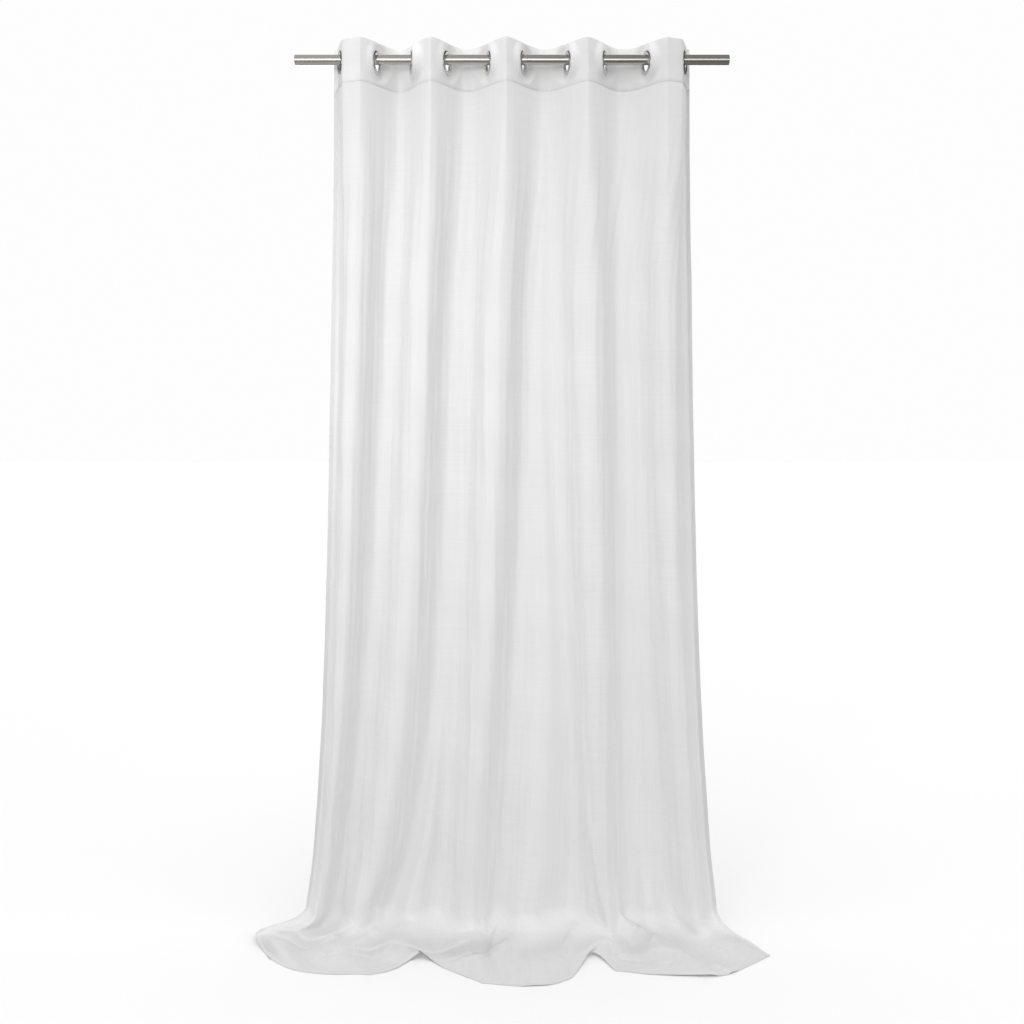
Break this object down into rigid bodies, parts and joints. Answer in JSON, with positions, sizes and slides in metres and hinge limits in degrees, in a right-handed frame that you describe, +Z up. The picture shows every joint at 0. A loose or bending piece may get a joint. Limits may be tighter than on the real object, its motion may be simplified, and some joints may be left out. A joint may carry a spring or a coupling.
{
  "type": "sheer voile curtain on a rod",
  "caption": "Sheer voile curtain with a stiffened eyelet heading, hanging in soft uneven folds from a plain steel rod, its hem lying loose on the floor.",
  "frame": {"origin": "the middle of the rod's axis, between the brackets that hold it", "axes": "+X along the rod to the right as seen from the room, +Y away from the room, +Z up, so the front of the folds faces -Y"},
  "size_m": [1.2211, 0.314, 2.1675],
  "materials": {
    "rod_steel": "brushed along its length",
    "eyelet_metal": "satin silver",
    "heading_cloth": "doubled and stiffened plain-weave voile",
    "voile": "sheer plain-weave voile"
  },
  "bodies": {
    "root": {"rod": "rod_steel", "heading_band": "heading_cloth", "voile_panel": "voile", "eyelet_01": "eyelet_metal", "eyelet_02": "eyelet_metal", "eyelet_03": "eyelet_metal", "eyelet_04": "eyelet_metal", "eyelet_05": "eyelet_metal", "eyelet_06": "eyelet_metal", "eyelet_07": "eyelet_metal", "eyelet_08": "eyelet_metal", "eyelet_09": "eyelet_metal", "eyelet_10": "eyelet_metal"}
  },
  "joints": []
}
